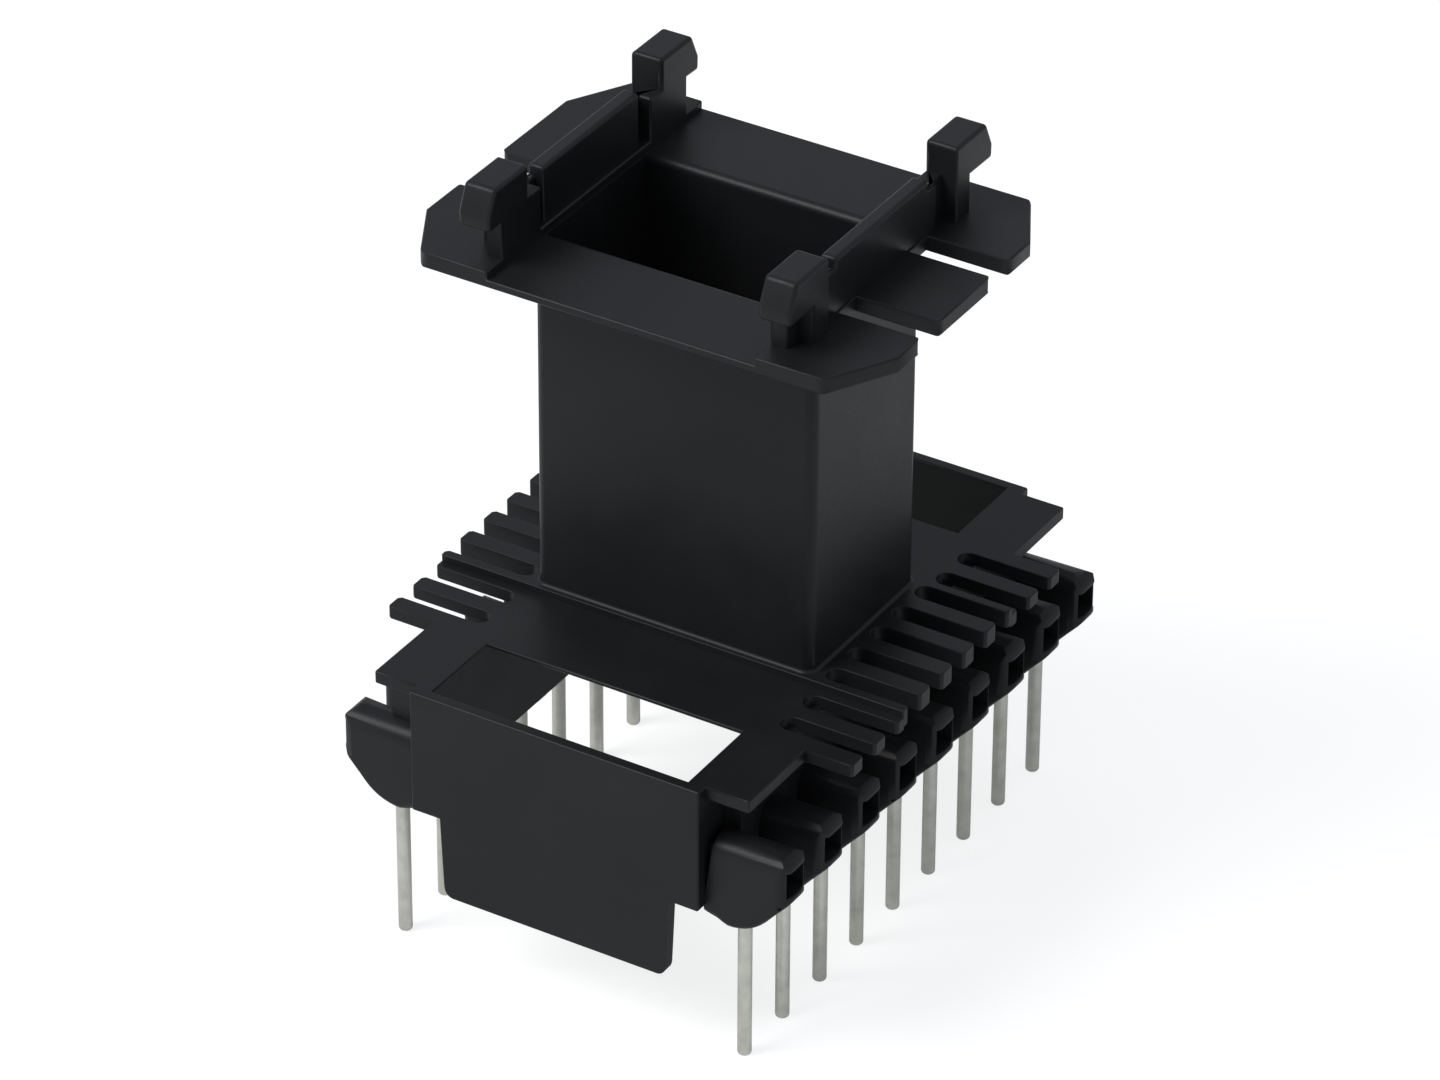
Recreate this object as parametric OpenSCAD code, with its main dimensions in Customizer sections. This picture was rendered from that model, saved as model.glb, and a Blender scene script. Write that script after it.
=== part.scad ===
// Vertical transformer bobbin for a pair of E cores: one black moulding with two rows of
// soldering pins. It stands on its pin tips at z = 0. +Z runs up the winding tube, the pin
// rows run along Y, and X goes from one row to the other.

/* [Core] */
// Width of the core's centre leg, along Y
leg_w = 12.2; // [10:0.1:14]
// Thickness of the core, along X
core_t = 20; // [16:0.5:20.5]
// Distance between the inner faces of the core's outer legs
leg_gap = 29.5; // [28.5:0.1:31]
// Length of the core, along Y
core_len = 42; // [40:0.1:46]
// Room beside the centre leg inside the tube, along Y
leg_clear = 0.1; // [0.05:0.05:0.3]
// Room beside the core inside the tube and the leg windows, along X
core_clear = 0.2; // [0.1:0.05:0.4]
// Room between the core's outer legs and the middle of the lower plate
gap_clear = 0.2; // [0.1:0.05:0.5]
// Room between the core's end faces and the skirts
end_clear = 0.45; // [0.2:0.05:1]

/* [Tube] */
// Wall of the winding tube
tube_wall = 0.85; // [0.6:0.05:1.2]
// Radius of the tube's upright outer edges
tube_edge_r = 0.8; // [0.4:0.1:1.4]
// Radius of the fillets where the tube meets the plate and the flange
tube_fillet = 0.3; // [0.2:0.05:0.4]
// Height of the winding space, from the plate to the flange
winding_h = 27.8; // [15:0.1:40]

/* [Lower plate] */
// Height of the plate's top above the pin tips
plate_z = 22; // [20:0.1:28]
// Thickness of the plate and its fingers
plate_t = 1; // [0.7:0.05:1.2]
// Distance from the middle to the outer edge of the plate's wings
wing_reach = 14.9; // [14:0.1:17]
// Number of wire-guide fingers on each side
finger_count = 10; // [4:1:10]
// Distance from finger to finger
finger_pitch = 3; // [2.6:0.05:3.1]
// Width of a finger
finger_w = 1.45; // [0.8:0.05:1.6]
// Distance from the middle to the finger tips
finger_reach = 18.6; // [17:0.1:21]
// Chamfer on the corners of the finger tips
finger_chamfer = 0.15; // [0.1:0.05:0.35]
// Strip of plate between the tube and the slots of the comb
comb_land = 0.7; // [0.5:0.05:1.2]
// Rise of the middle strip, which carries the tube and the middle fingers
strip_rise = 0.55; // [0.3:0.05:0.65]
// Ledge of the strip in front of the tube and behind it
strip_ledge = 0.45; // [0.42:0.01:0.6]
// Edge left at the windows by the lead-in slope under the plate
lead_lip = 0.25; // [0.15:0.05:0.5]
// Length of the lead-in slope, along Y
lead_run = 1; // [0.5:0.1:2]

/* [Skirts] */
// Height of the lower edge of the skirts' upper part above the pin tips
skirt_z = 12.3; // [11.5:0.1:13.5]
// Thickness of the end skirts
skirt_t = 0.9; // [0.6:0.05:1.5]
// Half the width of a skirt's upper part
skirt_half = 11.5; // [11:0.1:12.5]
// Half the width of a skirt's tab where it leaves the upper part
tab_half = 9.2; // [7:0.1:10]
// Draft of the tab's sides, from top to foot
tab_draft = 0.3; // [0:0.05:0.6]
// Height of the tab's foot above the pin tips
tab_z = 6; // [3:0.1:9]
// Radius of the tab's lower corners
tab_corner_r = 0.7; // [0.3:0.1:1.5]

/* [Pin bars] */
// Height of the bars' lower edge above the pin tips
bar_z = 13; // [12.4:0.1:14]
// Distance from the middle to the inner face of the bars
bar_in = 10.6; // [10.4:0.05:10.9]
// Distance from the middle to the outer face of the bars
bar_reach = 12.7; // [12.5:0.1:13.5]
// Thickness of the webs that join the bars to the skirts
web_t = 0.8; // [0.6:0.05:0.9]
// Distance from the middle to the outer face of the post at the left front corner
post_reach = 14.3; // [13.5:0.1:14.8]
// Distance from the skirts back to the post and to the bars' feet
post_inset = 0.85; // [0.5:0.05:1.2]
// Number of pins in a row
pin_count = 9; // [3:1:9]
// Distance from pin to pin in a row
pin_pitch = 5; // [4:0.05:5]
// Distance from one row of pins to the other
row_gap = 27.6; // [26:0.1:28]
// Diameter of a pin
pin_d = 1; // [0.6:0.05:1.3]
// Length of a pin inside the moulding
pin_depth = 4; // [2.5:0.1:6]
// Thickness of the tin on a pin's free length
tin_t = 0.03; // [0.01:0.01:0.08]
// Length of bare root that shows between a lug and the tin
root_show = 0.3; // [0.15:0.05:1]
// Radius on the tip of a pin
pin_tip_r = 0.25; // [0.05:0.05:0.25]
// Room between a pin's root and its hole, on the radius
pin_clear = 0.01; // [0:0.005:0.03]

/* [Lugs] */
// Width of a lug, along the row
lug_w = 2.9; // [2.4:0.05:3.4]
// Height of a lug's lowest line above the pin tips
lug_z = 11.15; // [10.6:0.05:11.4]
// Radius of a lug's belly, seen along the row
lug_belly_r = 3.8; // [3.4:0.05:4]
// Distance from the middle to the belly's axis
lug_belly_x = 13.2; // [13:0.05:13.5]
// Distance from the middle to a lug's outer end
lug_reach = 17.9; // [17.4:0.05:18.2]
// Height of the end face's lower corner above the pin tips
lug_end_z = 14.5; // [14:0.1:14.8]
// Height of a lug's top above the pin tips
lug_top_z = 17.85; // [17.5:0.05:19]
// Radius of a lug's upper outer corner, seen along the row
lug_corner_r = 1.3; // [0.6:0.1:1.5]
// Radius on a lug's long edges
lug_edge_r = 0.95; // [0.5:0.05:1.1]
// Depth by which a lug runs into its bar
lug_root = 0.8; // [0.5:0.1:1.2]
// Width of the blind pocket in a lug's end
pocket_w = 2.15; // [1.4:0.05:2.3]
// Height of the blind pocket
pocket_h = 2; // [1.4:0.05:2.2]
// Height of the pocket's middle above the pin tips
pocket_z = 15.9; // [15.3:0.1:16.6]
// Depth of the pocket
pocket_depth = 2.2; // [1:0.1:2.4]

/* [Top flange] */
// Thickness of the flange's wings
flange_t = 1.2; // [0.9:0.05:2]
// Depth of the yoke's channel below the wings' top
channel_depth = 0.6; // [0.2:0.05:0.6]
// Distance from the middle to the flange's side edges
flange_reach = 18.4; // [17:0.1:20]
// Distance from the middle to the flange's front and back edges
flange_half = 13.75; // [13:0.05:16]
// Size of the corner chamfers, along X
corner_x = 2.75; // [1:0.05:4]
// Size of the corner chamfers, along Y
corner_y = 5; // [2:0.1:6]
// Half the width of the tongue on the right side
tongue_half = 3.5; // [2:0.05:4]
// Width of the slots beside the tongue
tongue_slot = 2.3; // [1.5:0.05:3]
// Width of the slot on the left side
left_slot = 5.2; // [3:0.1:6]
// Distance of the left slot from the middle, along Y
left_slot_y = -2.1; // [-3:0.1:3]
// Strip of flange between the rails and the slots
slot_land = 0.1; // [0.1:0.05:0.6]
// Rounding of the tube's mouth
mouth_r = 0.6; // [0.2:0.05:0.6]

/* [Rails and hooks] */
// Room between the upper yoke and the hooks
yoke_clear = 0.35; // [0.3:0.05:0.6]
// Step from the hooks' inner faces back to the rails
rail_step = 0.4; // [0.2:0.05:0.6]
// Thickness of a rail
rail_t = 1.25; // [0.9:0.05:1.5]
// Half the length of a rail
rail_half = 6.05; // [4:0.05:6.1]
// Height of a rail above the wings
rail_h = 4.15; // [3.5:0.05:4.6]
// Width of the upright groove between a rail and a hook
groove_w = 0.9; // [0.5:0.05:1]
// Thickness of the wall behind the groove
groove_wall = 0.6; // [0.4:0.05:0.8]
// Height of the shoulder between a rail and a hook's head
shoulder_h = 3.35; // [3:0.05:3.4]
// Thickness of a hook's stem plate
stem_t = 1.35; // [1:0.05:1.6]
// Distance from the middle to the outer end of the stem plate, along Y
stem_end = 11.7; // [11:0.1:12.5]
// Distance from the middle to the outer end of a hook's post, along Y
post_end = 10.3; // [9.5:0.1:11]
// Width of a hook's head
head_w = 2.5; // [2:0.05:3]
// Distance from the middle to the inner end of a hook's head, along Y
head_start = 8.4; // [7.8:0.1:9]
// Distance from the flange's edge back to a hook's nose
nose_inset = 0.45; // [0.1:0.05:1]
// Height of a hook's underside above the wings
nose_h = 2.7; // [2.2:0.05:3]
// Height of the nose's upright face
nose_face = 1.1; // [0.6:0.05:1.6]
// Length of the slope on top of the nose
nose_slope = 0.85; // [0.4:0.05:1.5]
// Height of a hook above the wings
hook_h = 5.65; // [4.8:0.05:6.5]

/* [Hidden] */
$fn = 48;
// Facets of a full turn on the lugs' eased edges
lug_edge_fn = 12;
// Depth by which joined shapes run into each other
sink = 0.2;
// Overrun of cuts past the faces they open
past = 1;

body_color = "#1c1d1f";
pin_color = "#c4c3bd";

bore_half_x = core_t / 2 + core_clear;
bore_half_y = leg_w / 2 + leg_clear;
tube_half_x = bore_half_x + tube_wall;
tube_half_y = bore_half_y + tube_wall;

plate_under = plate_z - plate_t;
flange_under = plate_z + winding_h;
flange_z = flange_under + flange_t;
channel_z = flange_z - channel_depth;

strip_z = plate_z + strip_rise;
strip_half = tube_half_y + strip_ledge;

window_in = leg_gap / 2 - gap_clear;
window_out = core_len / 2 + end_clear;
comb_in = tube_half_x + comb_land;
slot_w = finger_pitch - finger_w;

pin_x = row_gap / 2;
row_half = (pin_count - 1) / 2 * pin_pitch;
bar_top = plate_under + sink;
bar_half = row_half - lug_w / 2 + sink;
foot_half = window_out - post_inset;
belly_z = lug_z + lug_belly_r;
lug_in = bar_reach - lug_root;
end_drop = belly_z - lug_end_z;
end_run = lug_reach - lug_belly_x;
lug_slope = atan2(end_drop, end_run) + acos(lug_belly_r / norm([end_run, end_drop]));
root_r = pin_d / 2 - tin_t;
tin_top = lug_z - root_show;
pin_top = lug_z + pin_depth;

channel_half = core_t / 2 + yoke_clear;
rail_in = channel_half + rail_step;
rail_out = rail_in + rail_t;
stem_start = rail_half + groove_w;
slot_in = rail_out + slot_land;
nose_end = flange_half - nose_inset;

SIDES = ["left", "right"];
function pin_name(side, i) = str("pin_", SIDES[side], "_", i + 1);

// A shape and its mirror image across the plane normal to the given axis
module mirrored(axis) {
    children();
    mirror(axis) children();
}

// A shape in the +X +Y quarter and its three mirror images
module four_corners() mirrored([1, 0, 0]) mirrored([0, 1, 0]) children();

// A rectangle about the origin with round corners
module rounded_rectangle(half_x, half_y, r) {
    square([2 * half_x, 2 * (half_y - r)], center = true);
    square([2 * (half_x - r), 2 * half_y], center = true);
    four_corners() translate([half_x - r, half_y - r]) circle(r);
}

// Section of a concave fillet in the corner of the first quadrant
module fillet_section(r) {
    difference() {
        translate([-sink, -sink]) square(r + sink);
        translate([r, r]) circle(r);
    }
}

// Concave fillet round the foot of the tube, on the plane z = 0
module tube_foot_fillet() {
    run_x = tube_half_x - tube_edge_r;
    run_y = tube_half_y - tube_edge_r;
    mirrored([0, 1, 0]) translate([-run_x, tube_half_y, 0])
        rotate([90, 0, 90]) linear_extrude(2 * run_x) fillet_section(tube_fillet);
    mirrored([1, 0, 0]) translate([tube_half_x, run_y, 0])
        rotate([90, 0, 0]) linear_extrude(2 * run_y) fillet_section(tube_fillet);
    four_corners() translate([run_x, run_y, 0])
        rotate_extrude(angle = 90) translate([tube_edge_r, 0]) fillet_section(tube_fillet);
}

// Winding tube from the plate to the flange, still without its bore
module tube_core() {
    translate([0, 0, plate_under + sink]) linear_extrude(channel_z - plate_under - 2 * sink)
        rounded_rectangle(tube_half_x, tube_half_y, tube_edge_r);
    translate([0, 0, strip_z]) tube_foot_fillet();
    translate([0, 0, flange_under]) mirror([0, 0, 1]) tube_foot_fillet();
}

// Rectangular bore for the centre leg, with a rounded mouth under the upper yoke
module tube_bore() {
    translate([-bore_half_x, -bore_half_y, plate_under - past])
        cube([2 * bore_half_x, 2 * bore_half_y, channel_z - plate_under + 2 * past]);
    mirrored([0, 1, 0]) translate([-bore_half_x, bore_half_y, channel_z])
        rotate([90, 0, 90]) linear_extrude(2 * bore_half_x) difference() {
            translate([-sink, -mouth_r]) square([mouth_r + sink, mouth_r + past]);
            translate([mouth_r, -mouth_r]) circle(mouth_r);
        }
}

// One wire-guide finger, from inside the plate to its chamfered tip
module finger() {
    half = finger_w / 2;
    polygon([
        [0, -half],
        [finger_reach - finger_chamfer, -half],
        [finger_reach, -half + finger_chamfer],
        [finger_reach, half - finger_chamfer],
        [finger_reach - finger_chamfer, half],
        [0, half]
    ]);
}

// Round-ended slot between two fingers
module comb_slot() {
    translate([comb_in + slot_w / 2, 0]) circle(slot_w / 2);
    translate([comb_in + slot_w / 2, -slot_w / 2]) square([finger_reach - comb_in, slot_w]);
}

// Outline of the lower plate, with the comb on both sides and the two leg windows
module plate_outline() {
    difference() {
        union() {
            square([2 * wing_reach, 2 * window_out], center = true);
            mirrored([1, 0, 0]) for (i = [0 : finger_count - 1])
                translate([0, (i - (finger_count - 1) / 2) * finger_pitch]) finger();
        }
        mirrored([1, 0, 0]) for (i = [1 : finger_count - 1])
            translate([0, (i - finger_count / 2) * finger_pitch]) comb_slot();
        mirrored([0, 1, 0]) translate([-bore_half_x, window_in])
            square([2 * bore_half_x, window_out - window_in + past]);
    }
}

// Lower plate: the flat wings, and the raised strip with the middle fingers
module plate() {
    low_half = strip_half - sink;
    translate([0, 0, plate_under]) linear_extrude(plate_t) difference() {
        plate_outline();
        mirrored([1, 0]) translate([bar_reach + sink, -low_half]) square([finger_reach, 2 * low_half]);
    }
    translate([0, 0, bar_top]) linear_extrude(strip_z - bar_top) intersection() {
        plate_outline();
        square([2 * (finger_reach + past), 2 * strip_half], center = true);
    }
}

// Lead-in slope under the plate's edge at one window, for the core's outer leg
module window_lead() {
    rise = plate_t - lead_lip;
    translate([-bore_half_x, window_in, plate_under])
        rotate([90, 0, 90]) linear_extrude(2 * bore_half_x)
            polygon([[-lead_run, 0], [0, rise], [past, rise], [past, -past], [-lead_run, -past]]);
}

// End skirt with its drafted tab, as an outline in X and Z
module skirt_outline() {
    foot = tab_half - tab_draft;
    translate([-skirt_half, skirt_z]) square([2 * skirt_half, plate_z - skirt_z]);
    difference() {
        polygon([[-tab_half, skirt_z + sink], [-foot, tab_z], [foot, tab_z], [tab_half, skirt_z + sink]]);
        mirrored([1, 0]) translate([foot - tab_corner_r, tab_z + tab_corner_r]) difference() {
            translate([0, -tab_corner_r - past]) square([tab_corner_r + past, tab_corner_r + past]);
            circle(tab_corner_r);
        }
    }
}

// Bar under the plate that carries one row of lugs, on the +X side
module pin_bar() {
    translate([bar_in, -bar_half, bar_z])
        cube([bar_reach - bar_in, 2 * bar_half, bar_top - bar_z]);
    translate([bar_in, -foot_half, bar_z])
        cube([bar_reach - bar_in, 2 * foot_half, lug_top_z - lug_edge_r - bar_z]);
    translate([bar_in, -window_out - sink, bar_z])
        cube([web_t, 2 * (window_out + sink), bar_top - bar_z]);
}

// Post between the plate and the first lug of the left row
module corner_post() {
    translate([-post_reach, -foot_half, belly_z])
        cube([post_reach - bar_in, foot_half - bar_half + sink, bar_top - belly_z]);
}

// Half section of a lug's belly, from its axis to its eased rim
module belly_section() {
    half = lug_w / 2;
    intersection() {
        rounded_rectangle(lug_belly_r, half, lug_edge_r, $fn = lug_edge_fn);
        translate([0, -half]) square([lug_belly_r, lug_w]);
    }
}

// Section of a lug's upper part across the row, with eased edges on top
module lug_section() {
    half = lug_w / 2;
    translate([-half, lug_z]) square([lug_w, lug_top_z - lug_edge_r - lug_z]);
    translate([-half + lug_edge_r, lug_z]) square([lug_w - 2 * lug_edge_r, lug_top_z - lug_z]);
    mirrored([1, 0]) translate([half - lug_edge_r, lug_top_z - lug_edge_r])
        circle(lug_edge_r, $fn = lug_edge_fn);
}

// Side view of a lug's upper part along the row, with its round outer corner
module lug_profile() {
    translate([0, lug_z]) square([lug_reach, lug_top_z - lug_corner_r - lug_z]);
    translate([0, lug_z]) square([lug_reach - lug_corner_r, lug_top_z - lug_z]);
    translate([lug_reach - lug_corner_r, lug_top_z - lug_corner_r]) circle(lug_corner_r);
}

// Plan of a lug, with round outer corners
module lug_plan() {
    intersection() {
        rounded_rectangle(lug_reach, lug_w / 2, lug_edge_r, $fn = lug_edge_fn);
        translate([lug_in, -lug_w / 2]) square([lug_reach - lug_in, lug_w]);
    }
}

// Lug round one pin, with the blind pocket in its outer end
module lug() {
    difference() {
        union() {
            intersection() {
                translate([lug_belly_x, 0, belly_z]) {
                    rotate([90, 0, 0]) rotate_extrude() belly_section();
                    rotate([0, lug_slope, 0]) linear_extrude(lug_belly_r) belly_section();
                }
                translate([0, 0, lug_z - past]) linear_extrude(lug_belly_r + past) lug_plan();
            }
            intersection() {
                translate([0, lug_w, 0]) rotate([90, 0, 0]) linear_extrude(2 * lug_w) lug_profile();
                rotate([90, 0, 90]) linear_extrude(lug_reach + past) lug_section();
                translate([0, 0, belly_z - sink]) linear_extrude(lug_top_z - belly_z + past) lug_plan();
            }
        }
        translate([lug_reach - pocket_depth, -pocket_w / 2, pocket_z - pocket_h / 2])
            cube([pocket_depth + past, pocket_w, pocket_h]);
    }
}

// Bar with its lugs and the blind holes for the pins
module pin_row() {
    difference() {
        union() {
            pin_bar();
            for (i = [0 : pin_count - 1]) translate([0, i * pin_pitch - row_half, 0]) lug();
        }
        for (i = [0 : pin_count - 1])
            translate([pin_x, i * pin_pitch - row_half, lug_z - past])
                cylinder(h = pin_depth + past, r = root_r + pin_clear);
    }
}

// Outline of the top flange, with the tongue on the right and one slot on the left
module flange_outline() {
    difference() {
        polygon([
            for (s = [[1, -1], [1, 1], [-1, 1], [-1, -1]])
                each s.x * s.y < 0
                    ? [[s.x * (flange_reach - corner_x), s.y * flange_half],
                       [s.x * flange_reach, s.y * (flange_half - corner_y)]]
                    : [[s.x * flange_reach, s.y * (flange_half - corner_y)],
                       [s.x * (flange_reach - corner_x), s.y * flange_half]]
        ]);
        mirrored([0, 1]) translate([slot_in, tongue_half]) square([flange_reach, tongue_slot]);
        translate([-slot_in - flange_reach, left_slot_y - left_slot / 2]) square([flange_reach, left_slot]);
    }
}

// Top flange with the yoke's shallow channel
module flange() {
    difference() {
        translate([0, 0, flange_under]) linear_extrude(flange_t) flange_outline();
        translate([-channel_half, -flange_half - past, channel_z])
            cube([2 * channel_half, 2 * (flange_half + past), channel_depth + past]);
    }
}

// Side view of a hook's head along X: flat underside, upright nose and slope to the top
module head_profile() {
    polygon([
        [head_start, nose_h],
        [nose_end, nose_h],
        [nose_end, nose_h + nose_face],
        [nose_end - nose_slope, hook_h],
        [head_start, hook_h]
    ]);
}

// Hook at one corner of the channel, with its stem, shoulder and grooved wall
module hook() {
    translate([rail_out - groove_wall, rail_half - sink, -sink])
        cube([groove_wall, groove_w + 2 * sink, shoulder_h + sink]);
    translate([channel_half, stem_start, -sink])
        cube([stem_t, head_start + sink - stem_start, shoulder_h + sink]);
    translate([channel_half, head_start, -sink])
        cube([stem_t, stem_end - head_start, nose_h + 2 * sink]);
    translate([channel_half, head_start, -sink])
        cube([head_w, post_end - head_start, nose_h + 2 * sink]);
    translate([channel_half, 0, 0]) rotate([90, 0, 90]) linear_extrude(head_w) head_profile();
}

// Rail between two hooks, on the +X side
module rail() {
    translate([rail_in, -rail_half, -sink]) cube([rail_t, 2 * rail_half, rail_h + sink]);
}

// The moulding: tube, lower plate, skirts, pin bars, top flange, rails and hooks
module bobbin_body() {
    color(body_color) difference() {
        union() {
            tube_core();
            plate();
            mirrored([0, 1, 0]) translate([0, window_out + skirt_t, 0])
                rotate([90, 0, 0]) linear_extrude(skirt_t) skirt_outline();
            mirrored([1, 0, 0]) pin_row();
            corner_post();
            flange();
            translate([0, 0, flange_z]) mirrored([1, 0, 0]) rail();
            translate([0, 0, flange_z]) four_corners() hook();
        }
        tube_bore();
        mirrored([0, 1, 0]) window_lead();
    }
}

// One soldering pin: tinned from its round-edged tip to just under the lug, with a bare root
module pin(side, i) {
    r = pin_d / 2;
    color(pin_color) translate([(2 * side - 1) * pin_x, i * pin_pitch - row_half, 0])
        rotate_extrude() {
            translate([0, pin_tip_r]) square([root_r, pin_top - pin_tip_r]);
            translate([0, pin_tip_r]) square([r, tin_top - pin_tip_r]);
            square([r - pin_tip_r, tin_top]);
            intersection() {
                translate([r - pin_tip_r, pin_tip_r]) circle(pin_tip_r);
                square([r, pin_tip_r]);
            }
        }
}

bobbin_body();
for (side = [0, 1], i = [0 : pin_count - 1])
    pin(side, i);
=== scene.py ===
import math

import bmesh
import bpy
import numpy as np
from mathutils import Matrix, Vector


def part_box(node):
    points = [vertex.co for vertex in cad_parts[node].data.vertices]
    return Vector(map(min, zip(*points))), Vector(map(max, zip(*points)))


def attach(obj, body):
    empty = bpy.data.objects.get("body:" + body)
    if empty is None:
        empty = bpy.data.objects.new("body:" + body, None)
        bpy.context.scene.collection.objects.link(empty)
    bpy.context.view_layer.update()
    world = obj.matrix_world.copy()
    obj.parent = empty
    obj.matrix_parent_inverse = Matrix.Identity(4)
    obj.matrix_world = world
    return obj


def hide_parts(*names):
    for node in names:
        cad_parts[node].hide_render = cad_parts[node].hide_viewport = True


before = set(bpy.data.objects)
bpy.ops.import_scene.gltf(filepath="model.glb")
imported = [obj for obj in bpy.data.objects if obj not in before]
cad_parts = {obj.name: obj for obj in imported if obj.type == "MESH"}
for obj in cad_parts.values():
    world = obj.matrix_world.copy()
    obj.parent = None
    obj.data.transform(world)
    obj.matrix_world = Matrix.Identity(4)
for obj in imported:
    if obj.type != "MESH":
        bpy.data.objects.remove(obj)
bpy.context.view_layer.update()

MM = 0.001

# Camera, from the photograph's perspective
IMAGE_W = 1440
IMAGE_H = 1080
SENSOR_W = 36.0
FOCAL_PX = 7273.9
CENTRE_PX = (709.36, 545.72)
CAM_AZ = math.radians(31.307)
CAM_EL = math.radians(32.742)
CAM_ROLL = math.radians(0.226)
CAM_DIST = 499.0 * MM
CAM_TARGET = Vector((0.275, -2.614, 26.953)) * MM
CAM_NEAR = 0.01
CAM_FAR = 50

# Light: the sky's colour and strength, and the key softbox
SKY_COLOUR = (0.85, 0.92, 1.0, 1)
SKY_STRENGTH = 0.66
KEY_PLACE = (-0.40, -0.50, 0.68)
KEY_AIM = (0, 0, 0.03)
KEY_SIZE = (0.42, 0.42)
KEY_WATTS = 6.6

# Floor: its half width, and its white for the light that it throws back
FLOOR_HALF = 4.0
FLOOR_PLAIN = (0.8, 0.8, 0.8, 1)
# Share of the floor's white that glows, and share that the lamps light, as seen directly
FLOOR_SEEN = (0.8, 0.26)
# The same, as seen in reflections
FLOOR_MIRRORED = (0.24, 0.65)

# Detail of the noises, and the range of two added ones that a roughness is spread over
NOISE_DETAIL = 3
NOISE_SUM = (0.7, 1.3)

# Black moulding: its clouds from dark to pale, its roughness and its fine grain
MOULDING_STOPS = (0.3, 0.72)
MOULDING_DARK = (0.0076, 0.0078, 0.0084, 1)
MOULDING_PALE = (0.0110, 0.0112, 0.0120, 1)
MOULDING_ROUGH = (0.36, 0.46)
MOULDING_IOR = 1.26
MOULDING_CLOUDS = 160
GRAIN_SCALE = 5200
GRAIN_ROUGH = 0.6
GRAIN_STRENGTH = 0.12
GRAIN_HEIGHT = 0.02 * MM

# Tinned wire: its clouds from dark to pale, its roughness and its drawing marks
WIRE_STOPS = (0.3, 0.7)
WIRE_DARK = (0.45, 0.45, 0.40, 1)
WIRE_PALE = (0.57, 0.57, 0.51, 1)
WIRE_ROUGH = (0.32, 0.5)
WIRE_CLOUDS = 900
DRAWN_SCALE = 9000
DRAWN_DETAIL = 2
DRAWN_STRETCH = (1, 1, 0.06)
DRAWN_STRENGTH = 0.2
DRAWN_HEIGHT = 0.01 * MM

# Mesh of the moulding: distance below which points are one, and angles below which faces are joined
# or belong to one flat region
WELD = 0.002 * MM
JOIN = math.radians(0.4)
FLAT = math.radians(1)
# Material slots that tell the flat faces from the curved ones until the normals are set
FLAT_SLOT = 0
CURVED_SLOT = 1

# Lugs: their pitch, half width, top, inner and outer ends, and the solid's eased edges
LUG_PITCH = 5.0 * MM
LUG_HALF = 1.45 * MM
LUG_TOP = 17.85 * MM
LUG_INNER = 11.9 * MM
LUG_REACH = 17.9 * MM
LUG_EASE = 0.95 * MM
# Least share of the eased edge's radius at which a point counts as on its facets
ON_EDGE = 0.92
# Fuller upper edges, and the distances from the middle between which they fade out
LUG_FULL = 1.35 * MM
LUG_FADE = (16.6 * MM, 17.5 * MM)
# Crisper lower edges, the belly's axis, radius and upper limit
LUG_CRISP = 0.35 * MM
BELLY_X = 13.2 * MM
BELLY_Z = 14.95 * MM
BELLY_R = 3.8 * MM
BELLY_TOP = 14.89 * MM
# Slope from the belly to the foot of the outer end, as the angle below level that its face looks
LUG_FOOT_Z = 14.5 * MM
SLOPE_RUN = LUG_REACH - BELLY_X
SLOPE_DROP = BELLY_Z - LUG_FOOT_Z
SLOPE = math.atan2(SLOPE_DROP, SLOPE_RUN) + math.acos(BELLY_R / math.hypot(SLOPE_DROP, SLOPE_RUN))
# End lugs: the distance along the row past which they stand, the top of their inner ends, their run-on
END_LUG_Y = 18.0 * MM
END_LUG_Z = 12.95 * MM
END_LUG_RUN_ON = 0.6 * MM

# Rounding of the moulding's edges: all of them, the hooks' heads, the flange's corners in plan
EDGE_R = 0.15 * MM
HEAD_R = 0.3 * MM
HEAD_Z = 53.5 * MM
PLAN_R = 0.6 * MM
FLANGE_Z = (49.7 * MM, 51.1 * MM)
FLANGE_X = 13.0 * MM
ROUND_STEPS = 3
# Angle from which an outer edge is rounded, and from which shading breaks
SHARP = math.radians(35)
CREASE = math.radians(40)
# Share of the room beside an edge that its rounding may take, and the room where nothing is near
ROOM_SHARE = 0.42
OPEN_ROOM = 1.0
# Ends of an edge that the room beside it leaves out, as a share of its length, and their tolerance
ROOM_ENDS = 0.02
ROOM_ENDS_TOLERANCE = 0.9
# Least span of a border along an edge, so that nothing is divided by zero
NO_SPAN = 1e-9
# Turns below which edges form one chain, and above which they fold back
CHAIN = math.radians(32)
FOLD = math.radians(165)
CHAIN_PASSES = 12
# Area from which a facet beside a curve is a flat face of its own
BROAD = 12 * MM * MM


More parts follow.
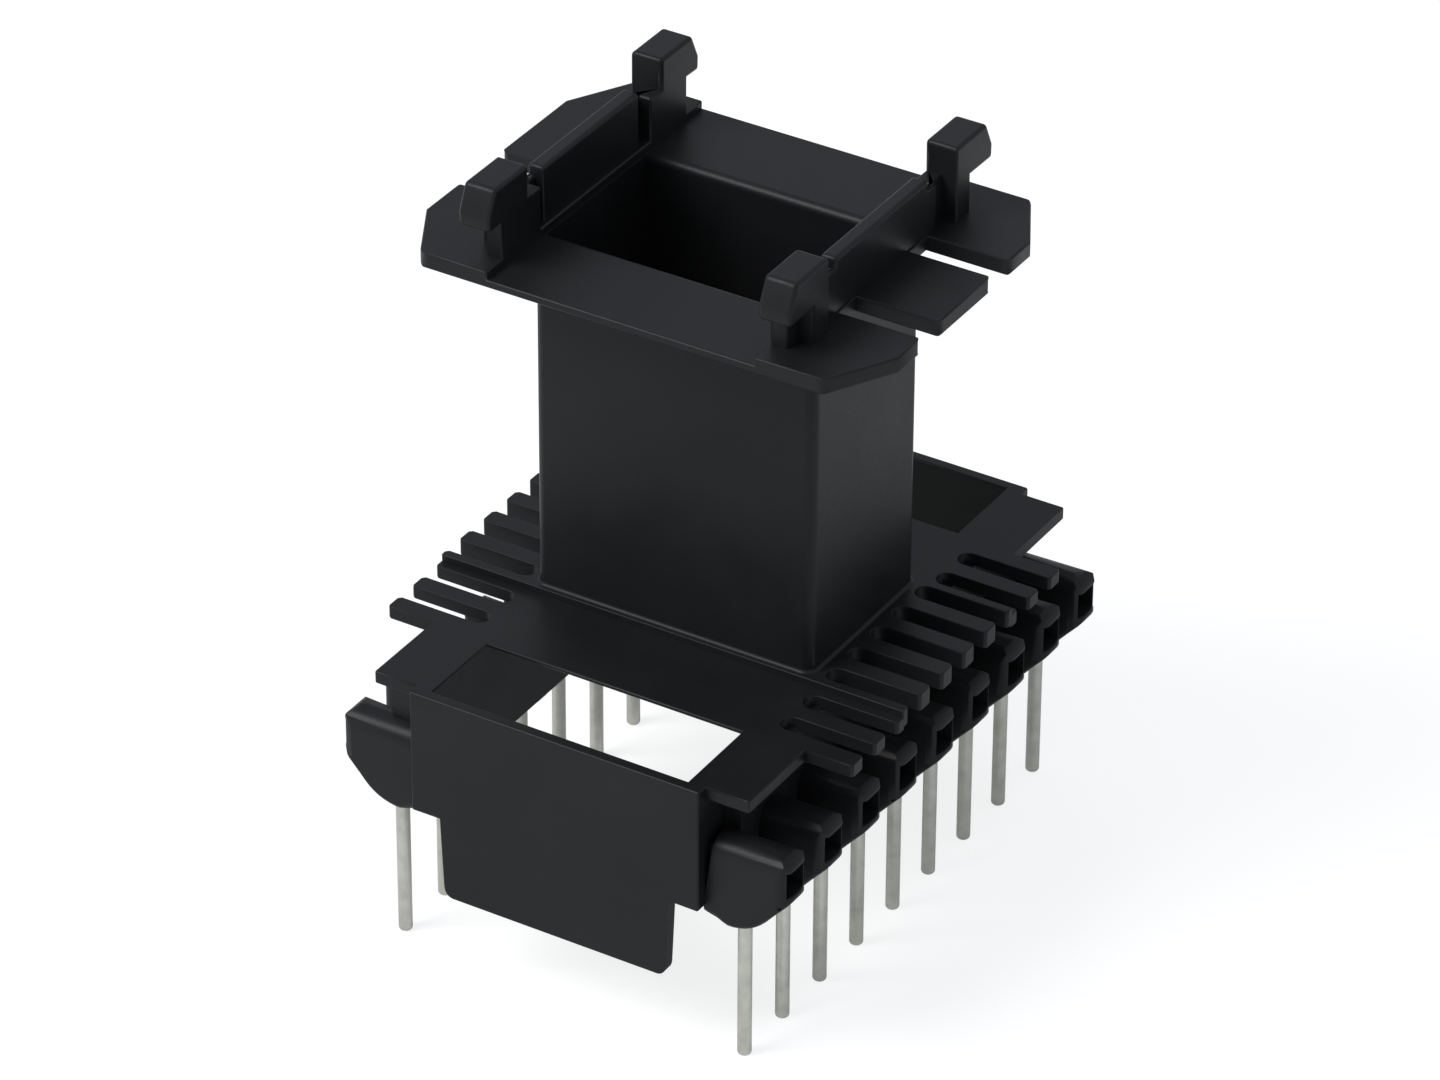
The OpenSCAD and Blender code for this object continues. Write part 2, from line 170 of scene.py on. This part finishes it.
def add_camera():
    level = math.cos(CAM_EL)
    back = Vector((math.sin(CAM_AZ) * level, -math.cos(CAM_AZ) * level, math.sin(CAM_EL)))
    right = Vector((math.cos(CAM_AZ), math.sin(CAM_AZ), 0))
    up = back.cross(right)
    turn = Matrix((right, up, back)).transposed() @ Matrix.Rotation(CAM_ROLL, 3, "Z")
    data = bpy.data.cameras.new("camera")
    data.sensor_fit = "HORIZONTAL"
    data.sensor_width = SENSOR_W
    data.lens = FOCAL_PX / IMAGE_W * SENSOR_W
    data.shift_x = (IMAGE_W / 2 - CENTRE_PX[0]) / IMAGE_W
    data.shift_y = (CENTRE_PX[1] - IMAGE_H / 2) / IMAGE_W
    data.clip_start = CAM_NEAR
    data.clip_end = CAM_FAR
    camera = bpy.data.objects.new("camera", data)
    camera.matrix_world = Matrix.Translation(CAM_TARGET + back * CAM_DIST) @ turn.to_4x4()
    bpy.context.scene.collection.objects.link(camera)
    bpy.context.scene.camera = camera


def add_world():
    world = bpy.data.worlds.new("studio")
    world.use_nodes = True
    sky = world.node_tree.nodes["Background"]
    sky.inputs["Color"].default_value = SKY_COLOUR
    sky.inputs["Strength"].default_value = SKY_STRENGTH
    bpy.context.scene.world = world


def add_key():
    data = bpy.data.lights.new("key", "AREA")
    data.shape = "RECTANGLE"
    data.size, data.size_y = KEY_SIZE
    data.energy = KEY_WATTS
    lamp = bpy.data.objects.new("key", data)
    lamp.location = KEY_PLACE
    lamp.rotation_euler = (Vector(KEY_AIM) - Vector(KEY_PLACE)).to_track_quat("-Z", "Y").to_euler()
    bpy.context.scene.collection.objects.link(lamp)


def new_material(name):
    material = bpy.data.materials.new(name)
    material.use_nodes = True
    material.node_tree.nodes.clear()
    return material, material.node_tree.nodes, material.node_tree.links


def noise(nodes, links, vector, scale, detail, rough=0.5):
    node = nodes.new("ShaderNodeTexNoise")
    node.inputs["Scale"].default_value = scale
    node.inputs["Detail"].default_value = detail
    node.inputs["Roughness"].default_value = rough
    links.new(vector, node.inputs["Vector"])
    return node.outputs["Fac"]


def ramp(nodes, links, value, stops, colours):
    """Colour that goes from the first to the second of two colours"""
    node = nodes.new("ShaderNodeValToRGB")
    for element, stop, colour in zip(node.color_ramp.elements, stops, colours):
        element.position = stop
        element.color = colour
    links.new(value, node.inputs["Fac"])
    return node.outputs["Color"]


def added(nodes, links, first, second):
    node = nodes.new("ShaderNodeMath")
    node.operation = "ADD"
    links.new(first, node.inputs[0])
    links.new(second, node.inputs[1])
    return node.outputs["Value"]


def map_range(nodes, links, value, source, target):
    node = nodes.new("ShaderNodeMapRange")
    node.inputs["From Min"].default_value = source[0]
    node.inputs["From Max"].default_value = source[1]
    node.inputs["To Min"].default_value = target[0]
    node.inputs["To Max"].default_value = target[1]
    links.new(value, node.inputs["Value"])
    return node.outputs["Result"]


def bump(nodes, links, value, strength, height):
    node = nodes.new("ShaderNodeBump")
    node.inputs["Strength"].default_value = strength
    node.inputs["Distance"].default_value = height
    links.new(value, node.inputs["Height"])
    return node.outputs["Normal"]


def object_coords(nodes):
    return nodes.new("ShaderNodeTexCoord").outputs["Object"]


def principled(nodes, links):
    shader = nodes.new("ShaderNodeBsdfPrincipled")
    out = nodes.new("ShaderNodeOutputMaterial")
    links.new(shader.outputs["BSDF"], out.inputs["Surface"])
    return shader


def moulding_material():
    material, nodes, links = new_material("black_moulding")
    shader = principled(nodes, links)
    coords = object_coords(nodes)
    cloud = noise(nodes, links, coords, MOULDING_CLOUDS, NOISE_DETAIL)
    grain = noise(nodes, links, coords, GRAIN_SCALE, NOISE_DETAIL, GRAIN_ROUGH)
    base = ramp(nodes, links, cloud, MOULDING_STOPS, (MOULDING_DARK, MOULDING_PALE))
    links.new(base, shader.inputs["Base Color"])
    rough = map_range(nodes, links, added(nodes, links, cloud, grain), NOISE_SUM, MOULDING_ROUGH)
    links.new(rough, shader.inputs["Roughness"])
    shader.inputs["IOR"].default_value = MOULDING_IOR
    links.new(bump(nodes, links, grain, GRAIN_STRENGTH, GRAIN_HEIGHT), shader.inputs["Normal"])
    return material


def pin_material():
    material, nodes, links = new_material("tinned_wire")
    shader = principled(nodes, links)
    coords = object_coords(nodes)
    stretch = nodes.new("ShaderNodeMapping")
    stretch.inputs["Scale"].default_value = DRAWN_STRETCH
    links.new(coords, stretch.inputs["Vector"])
    drawn = noise(nodes, links, stretch.outputs["Vector"], DRAWN_SCALE, DRAWN_DETAIL)
    cloud = noise(nodes, links, coords, WIRE_CLOUDS, NOISE_DETAIL)
    base = ramp(nodes, links, cloud, WIRE_STOPS, (WIRE_DARK, WIRE_PALE))
    links.new(base, shader.inputs["Base Color"])
    shader.inputs["Metallic"].default_value = 1
    rough = map_range(nodes, links, added(nodes, links, cloud, drawn), NOISE_SUM, WIRE_ROUGH)
    links.new(rough, shader.inputs["Roughness"])
    links.new(bump(nodes, links, drawn, DRAWN_STRENGTH, DRAWN_HEIGHT), shader.inputs["Normal"])
    return material


def floor_white(nodes, links, glow, lit):
    """White that keeps a part of the shadow"""
    shine = nodes.new("ShaderNodeEmission")
    shine.inputs["Strength"].default_value = glow
    paint = nodes.new("ShaderNodeBsdfDiffuse")
    paint.inputs["Color"].default_value = (lit, lit, lit, 1)
    both = nodes.new("ShaderNodeAddShader")
    links.new(shine.outputs["Emission"], both.inputs[0])
    links.new(paint.outputs["BSDF"], both.inputs[1])
    return both.outputs["Shader"]


def mix_shaders(nodes, links, share, first, second):
    mix = nodes.new("ShaderNodeMixShader")
    links.new(share, mix.inputs["Fac"])
    links.new(first, mix.inputs[1])
    links.new(second, mix.inputs[2])
    return mix.outputs["Shader"]


def floor_material():
    material, nodes, links = new_material("pale_floor")
    plain = nodes.new("ShaderNodeBsdfDiffuse")
    plain.inputs["Color"].default_value = FLOOR_PLAIN
    path = nodes.new("ShaderNodeLightPath").outputs
    mirrored = floor_white(nodes, links, *FLOOR_MIRRORED)
    seen = floor_white(nodes, links, *FLOOR_SEEN)
    shown = mix_shaders(nodes, links, path["Is Glossy Ray"], plain.outputs["BSDF"], mirrored)
    shown = mix_shaders(nodes, links, path["Is Camera Ray"], shown, seen)
    out = nodes.new("ShaderNodeOutputMaterial")
    links.new(shown, out.inputs["Surface"])
    return material


def add_floor():
    mesh = bpy.data.meshes.new("floor")
    h = FLOOR_HALF
    mesh.from_pydata([(-h, -h, 0), (h, -h, 0), (h, h, 0), (-h, h, 0)], [], [(0, 1, 2, 3)])
    floor = bpy.data.objects.new("floor", mesh)
    bpy.context.scene.collection.objects.link(floor)
    mesh.materials.append(floor_material())


def welded_mesh(node):
    """The node's mesh with its seams closed and its flat triangles joined"""
    bm = bmesh.new()
    bm.from_mesh(node.data)
    bmesh.ops.remove_doubles(bm, verts=bm.verts, dist=WELD)
    bmesh.ops.dissolve_degenerate(bm, edges=bm.edges, dist=WELD)
    bmesh.ops.dissolve_limit(bm, angle_limit=JOIN, verts=bm.verts, edges=bm.edges)
    bm.normal_update()
    bm.faces.index_update()
    bm.edges.index_update()
    return bm


def lug_side(v):
    """Place of a point across its lug, from the lug's middle, and its depth behind the side face"""
    side = v.co.y - LUG_PITCH * round(v.co.y / LUG_PITCH)
    return side, LUG_HALF - abs(side)


def on_eased_edge(depth, drop):
    """Whether a point at these depths behind two faces of a lug is on the eased edge between them"""
    if min(depth, drop) < -WELD or max(depth, drop) > LUG_EASE + WELD:
        return False
    return math.hypot(LUG_EASE - depth, LUG_EASE - drop) >= ON_EDGE * LUG_EASE


def crisp_bellies(bm):
    """Makes the lugs' lower edges crisper, but for their inner ends"""
    axis = Vector((BELLY_X, BELLY_Z))
    slope_out = Vector((math.cos(SLOPE), -math.sin(SLOPE)))
    slope_on = Vector((math.sin(SLOPE), math.cos(SLOPE)))
    for v in bm.verts:
        x = abs(v.co.x)
        side, depth = lug_side(v)
        place = Vector((x, v.co.z)) - axis
        out = slope_out if place.dot(slope_on) > 0 else place.normalized()
        drop = BELLY_R - place.dot(out)
        if x < LUG_INNER - WELD or v.co.z > BELLY_TOP or not on_eased_edge(depth, drop):
            continue
        # On the outer end's upright corners a point keeps its place in plan
        if x > LUG_REACH - LUG_EASE - WELD:
            inset = LUG_CRISP - min(max(depth, 0), LUG_CRISP)
            v.co.z += (drop - LUG_CRISP + math.sqrt(LUG_CRISP ** 2 - inset ** 2)) / out.y
            continue
        fade = min((x - LUG_INNER) / (BELLY_X - LUG_INNER), 1)
        less = (1 - LUG_CRISP / LUG_EASE) * max(fade, 0)
        v.co.x += math.copysign(less * drop * out.x, v.co.x)
        v.co.y += math.copysign(less * depth, side)
        v.co.z += less * drop * out.y


def run_lugs_on(bm):
    """Moves the end lugs' inner ends in behind the skirts, so that no light shows between"""
    for v in bm.verts:
        at_end = abs(v.co.y) > END_LUG_Y and v.co.z < END_LUG_Z
        if at_end and abs(abs(v.co.x) - LUG_INNER) < WELD:
            v.co.x -= math.copysign(END_LUG_RUN_ON, v.co.x)


def fuller_lugs(bm):
    """Rounds the lugs' upper edges more, away from their outer ends"""
    for v in bm.verts:
        x = abs(v.co.x)
        side, depth = lug_side(v)
        drop = LUG_TOP - v.co.z
        if x < LUG_INNER - WELD or not on_eased_edge(depth, drop):
            continue
        fade = (LUG_FADE[1] - x) / (LUG_FADE[1] - LUG_FADE[0])
        more = (LUG_FULL / LUG_EASE - 1) * min(max(fade, 0), 1)
        v.co.y -= math.copysign(more * depth, side)
        v.co.z -= more * drop


def flat_groups(bm):
    """Number of the flat region that each face belongs to, and how many regions there are"""
    group = [-1] * len(bm.faces)
    count = 0
    for first in bm.faces:
        if group[first.index] >= 0:
            continue
        stack = [first]
        group[first.index] = count
        while stack:
            for e in stack.pop().edges:
                if len(e.link_faces) == 2 and abs(e.calc_face_angle_signed()) < FLAT:
                    for f in e.link_faces:
                        if group[f.index] < 0:
                            group[f.index] = count
                            stack.append(f)
        count += 1
    return group, count


def curved_groups(bm, group, count):
    """Whether each region is a small facet of a curved face"""
    area = [0.0] * count
    for f in bm.faces:
        area[group[f.index]] += f.calc_area()
    curved = [False] * count
    for e in bm.edges:
        if FLAT <= abs(e.calc_face_angle_signed()) <= SHARP:
            for f in e.link_faces:
                g = group[f.index]
                curved[g] = area[g] < BROAD
    return curved


def region_borders(bm, group, count):
    """Border edges of each flat region, and their end points"""
    borders = [[] for _ in range(count)]
    for e in bm.edges:
        sides = {group[f.index] for f in e.link_faces}
        if len(sides) == 2:
            for g in sides:
                borders[g].append(e)
    points = []
    for edges in borders:
        points.append(np.array([[v.co[:] for v in e.verts] for e in edges]))
    return borders, points


def room_across(edge, loop, edges, points):
    """Width of a flat region beside one of its border edges"""
    start = np.array(loop.vert.co)
    along = np.array(loop.link_loop_next.vert.co) - start
    length = np.linalg.norm(along)
    along = along / length
    inward = np.cross(np.array(loop.face.normal), along)
    ends = set(edge.verts)
    far = np.array([not ends.intersection(e.verts) for e in edges])
    if not far.any():
        return OPEN_ROOM
    offsets = points[far] - start
    place = offsets @ along
    width = offsets @ inward
    margin = ROOM_ENDS * length
    span = place[:, 1] - place[:, 0]
    span = np.where(np.abs(span) < NO_SPAN, NO_SPAN, span)
    enter = (margin - place[:, 0]) / span
    leave = (length - margin - place[:, 0]) / span
    beside = np.clip(np.sort(np.stack([enter, leave], 1), 1), 0, 1)
    middle = place[:, 0] + (beside[:, 0] + beside[:, 1]) / 2 * span
    tolerance = margin * ROOM_ENDS_TOLERANCE
    over = (middle > tolerance) & (middle < length - tolerance)
    least = np.min(width[:, :1] + beside * (width[:, 1:] - width[:, :1]), 1)
    least = least[over & (least > WELD)]
    return float(least.min()) if len(least) else OPEN_ROOM


def turn_angle(edge, other):
    """Angle by which a chain turns from one edge to the next"""
    shared = set(edge.verts).intersection(other.verts).pop()
    a = shared.co - edge.other_vert(shared).co
    b = other.other_vert(shared).co - shared.co
    return a.angle(b, math.pi)


def edge_limit(edge, group, borders, points):
    """Largest rounding that the faces beside an edge leave room for"""
    limit = OPEN_ROOM
    for loop in edge.link_loops:
        g = group[loop.face.index]
        limit = min(limit, ROOM_SHARE * room_across(edge, loop, borders[g], points[g]))
    for v in edge.verts:
        for other in v.link_edges:
            if other is not edge:
                turn = turn_angle(edge, other)
                if CHAIN < turn < FOLD:
                    limit = min(limit, ROOM_SHARE * other.calc_length() * math.sin(turn))
    return limit


def wished_rounding(edge):
    """Rounding that suits an edge: larger on the hooks' heads and at the flange's corners in plan"""
    a, b = (v.co for v in edge.verts)
    low = min(a.z, b.z)
    high = max(a.z, b.z)
    if low > HEAD_Z:
        return HEAD_R
    upright = (a - b).xy.length < WELD
    if upright and abs(a.x) > FLANGE_X and low > FLANGE_Z[0] and high < FLANGE_Z[1]:
        return PLAN_R
    return EDGE_R


def rounding_widths(bm, group, count):
    """Rounding of each sharp outer edge, even along smooth chains of edges"""
    borders, points = region_borders(bm, group, count)
    width = {}
    for e in bm.edges:
        if e.calc_face_angle_signed() > SHARP:
            width[e] = min(wished_rounding(e), edge_limit(e, group, borders, points))
    for _ in range(CHAIN_PASSES):
        for e in width:
            for v in e.verts:
                for other in v.link_edges:
                    if other in width and other is not e and turn_angle(e, other) < CHAIN:
                        width[e] = min(width[e], width[other])
    return width


def bake(piece):
    """Replaces a piece's mesh by what its modifiers make of it"""
    graph = bpy.context.evaluated_depsgraph_get()
    mesh = bpy.data.meshes.new_from_object(piece.evaluated_get(graph))
    piece.modifiers.clear()
    piece.data = mesh


def keep_in_box(mesh, low, high):
    """Takes rounding errors of the edges back to the node's own box"""
    for v in mesh.vertices:
        v.co = [min(max(c, lo), hi) for c, lo, hi in zip(v.co, low, high)]


def keep_flats(mesh):
    """Gives the flat faces flat normals, and drops the curved faces' material slot"""
    normals = [n.vector.copy() for n in mesh.corner_normals]
    for face in mesh.polygons:
        if face.material_index == FLAT_SLOT:
            for corner in face.loop_indices:
                normals[corner] = face.normal
        face.material_index = FLAT_SLOT
    mesh.normals_split_custom_set(normals)
    mesh.materials.pop()


def marked_mesh(node, material):
    """The moulding's mesh, with its edges weighted by their rounding and its curved faces told apart"""
    bm = welded_mesh(node)
    crisp_bellies(bm)
    run_lugs_on(bm)
    fuller_lugs(bm)
    bm.normal_update()
    layer = bm.edges.layers.float.new("bevel_weight_edge")
    group, count = flat_groups(bm)
    for e, width in rounding_widths(bm, group, count).items():
        e[layer] = width / PLAN_R
    curved = curved_groups(bm, group, count)
    for f in bm.faces:
        f.material_index = CURVED_SLOT if curved[group[f.index]] else FLAT_SLOT
    mesh = bpy.data.meshes.new("rounded_body")
    mesh.materials.append(material)
    mesh.materials.append(material)
    bm.to_mesh(mesh)
    bm.free()
    return mesh


def rounded_body(node, material):
    """The moulding with its outer edges rounded"""
    piece = bpy.data.objects.new("rounded_body", marked_mesh(node, material))
    bpy.context.scene.collection.objects.link(piece)
    edges = piece.modifiers.new("edges", "BEVEL")
    edges.limit_method = "WEIGHT"
    edges.width = PLAN_R
    edges.segments = ROUND_STEPS
    edges.use_clamp_overlap = False
    edges.material = CURVED_SLOT
    bake(piece)
    piece.data.shade_smooth()
    piece.data.set_sharp_from_angle(angle=CREASE)
    normals = piece.modifiers.new("normals", "WEIGHTED_NORMAL")
    normals.keep_sharp = True
    bake(piece)
    keep_in_box(piece.data, *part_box("bobbin_body"))
    keep_flats(piece.data)
    return piece


add_camera()
add_world()
add_floor()
add_key()
bpy.context.scene.view_settings.view_transform = "Standard"

moulding = moulding_material()
tinned = pin_material()
for name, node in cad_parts.items():
    for slot in node.material_slots:
        slot.material = moulding if name == "bobbin_body" else tinned

body = rounded_body(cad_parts["bobbin_body"], moulding)
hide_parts("bobbin_body")
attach(body, "root")
